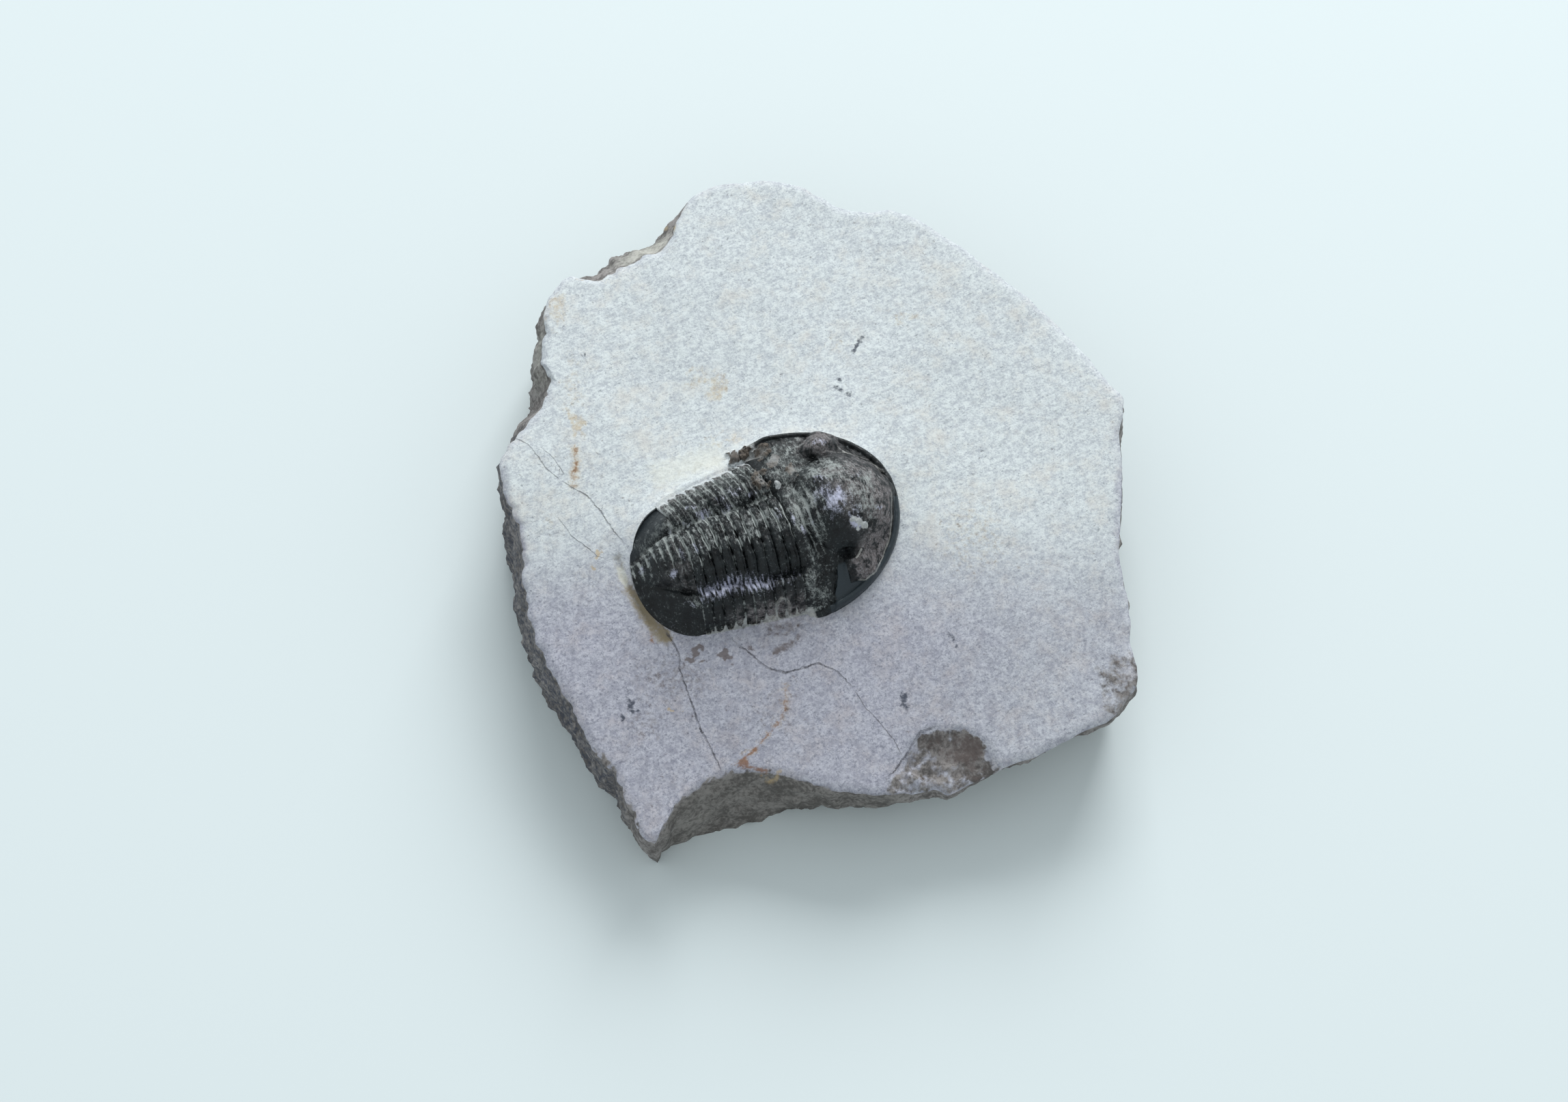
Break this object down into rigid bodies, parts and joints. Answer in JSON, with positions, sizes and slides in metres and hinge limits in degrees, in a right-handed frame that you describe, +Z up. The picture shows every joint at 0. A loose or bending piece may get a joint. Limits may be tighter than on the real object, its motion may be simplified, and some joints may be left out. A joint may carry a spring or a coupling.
{
  "type": "trilobite fossil on matrix",
  "caption": "Small domed trilobite with ringed thorax, large head shield and bulging eyes, set in relief on a thick irregular slab of pale grey limestone that lies on its flat underside.",
  "frame": {"origin": "middle of the footprint, on the plane that the slab rests on", "axes": "+Z up out of the face that carries the fossil, +Y along the longest side of the slab, +X to the right in the picture, the way that the trilobite's head points"},
  "size_m": [0.0584, 0.0654, 0.0183],
  "materials": {
    "limestone": "matt, finely grained, pale grey face with darker broken edges",
    "fossil_shell": "dark greenish black calcite shell, satin to glossy, with a whitish bloom in its furrows"
  },
  "bodies": {
    "root": {"limestone_matrix": "limestone", "cephalon": "fossil_shell", "thorax_segment_01": "fossil_shell", "thorax_segment_02": "fossil_shell", "thorax_segment_03": "fossil_shell", "thorax_segment_04": "fossil_shell", "thorax_segment_05": "fossil_shell", "thorax_segment_06": "fossil_shell", "thorax_segment_07": "fossil_shell", "thorax_segment_08": "fossil_shell", "thorax_segment_09": "fossil_shell", "thorax_segment_10": "fossil_shell", "pygidium": "fossil_shell"}
  },
  "joints": []
}
